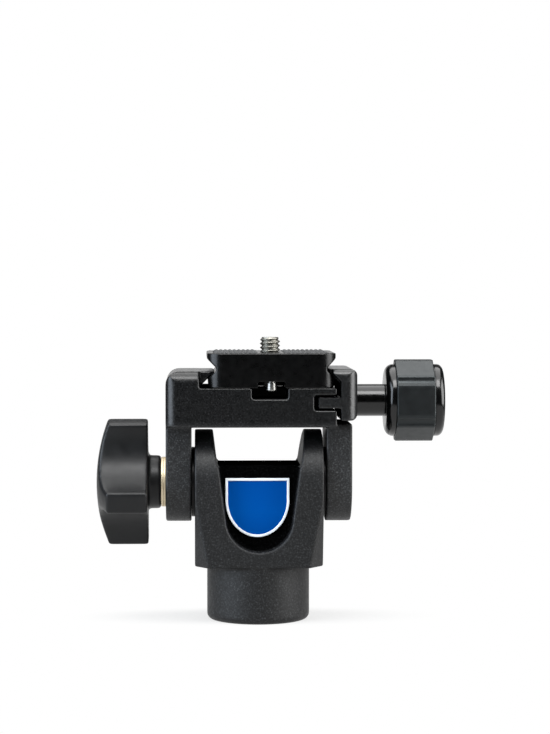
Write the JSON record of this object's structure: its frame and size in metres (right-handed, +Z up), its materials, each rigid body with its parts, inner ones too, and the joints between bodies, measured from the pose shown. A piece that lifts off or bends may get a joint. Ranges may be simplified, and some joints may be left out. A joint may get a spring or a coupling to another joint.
{
  "type": "monopod tilt head",
  "caption": "Cast tilt head for a monopod: a fork on a round foot, a tilting yoke with a lobed locking knob, and a screw clamp that holds a dovetail camera plate.",
  "frame": {"origin": "centre of the foot's underside, on the axis of its threaded hole", "axes": "+Z up along the foot's axis, +X towards the clamp knob, -Y towards the side that carries the badge"},
  "size_m": [0.1092, 0.0404, 0.0891],
  "materials": {
    "cast_black": "fine textured black powder coat on cast aluminium",
    "anodised_black": "satin black anodised",
    "gloss_black": "bright turned black anodised",
    "black_plastic": "satin black moulded plastic",
    "rubber": "matte dark grey rubber",
    "pad_rubber": "matte black ribbed rubber",
    "steel": "bright machined steel",
    "brass": "machined brass",
    "badge_blue": "blue enamel with a pale raised border"
  },
  "bodies": {
    "base": {"fork_base": "cast_black", "foot_bush": "brass", "badge": "badge_blue", "axle_bush_left": "brass", "axle_bush_right": "brass", "friction_washer_left": "black_plastic", "friction_washer_right": "black_plastic"},
    "yoke": {"yoke": "cast_black", "tilt_axle": "steel", "clamp_insert": "brass", "return_spring": "steel"},
    "knob_washers": {"bearing_washer": "brass", "brass_washer": "brass"},
    "tilt_knob": {"tilt_knob": "black_plastic", "tilt_knob_insert": "brass"},
    "moving_jaw": {"moving_jaw": "cast_black"},
    "clamp_knob": {"clamp_screw": "steel", "knob_core": "gloss_black", "knob_grip": "rubber", "knob_cap": "gloss_black"},
    "plate": {"dovetail_plate": "anodised_black", "pad_left": "pad_rubber", "pad_right": "pad_rubber", "stop_screws": "steel"},
    "camera_screw": {"camera_screw": "steel"}
  },
  "joints": [
    {"name": "tilt", "type": "hinge", "parent": "base", "child": "yoke", "pos_m": [0, 0, 0.0434], "axis": [1, 0, 0], "range_deg": [-90, 90]},
    {"name": "knob_travel", "type": "slide", "parent": "yoke", "child": "knob_washers", "axis": [-1, 0, 0], "range_m": [0, 0.00125]},
    {"name": "tilt_knob_turn", "type": "hinge", "parent": "knob_washers", "child": "tilt_knob", "pos_m": [-0.04, 0, 0.0434], "axis": [-1, 0, 0], "range_deg": [0, 360]},
    {"name": "jaw_slide", "type": "slide", "parent": "yoke", "child": "moving_jaw", "axis": [1, 0, 0], "range_m": [0, 0.003], "deforming": ["return_spring"]},
    {"name": "clamp_knob_turn", "type": "hinge", "parent": "moving_jaw", "child": "clamp_knob", "pos_m": [0.045, 0, 0.0691], "axis": [1, 0, 0], "range_deg": [0, 1350]},
    {"name": "plate_slide", "type": "slide", "parent": "yoke", "child": "plate", "axis": [0, 1, 0], "range_m": [-0.0072, 0.0072]},
    {"name": "camera_screw_turn", "type": "hinge", "parent": "plate", "child": "camera_screw", "pos_m": [0.00375, 0, 0.08], "axis": [0, 0, 1], "continuous": true}
  ],
  "couplings": [
    {"joint": "knob_travel", "follows": "tilt_knob_turn", "m_per_rad": 0.00019894},
    {"joint": "clamp_knob_turn", "follows": "jaw_slide", "rad_per_m": 7853}
  ]
}
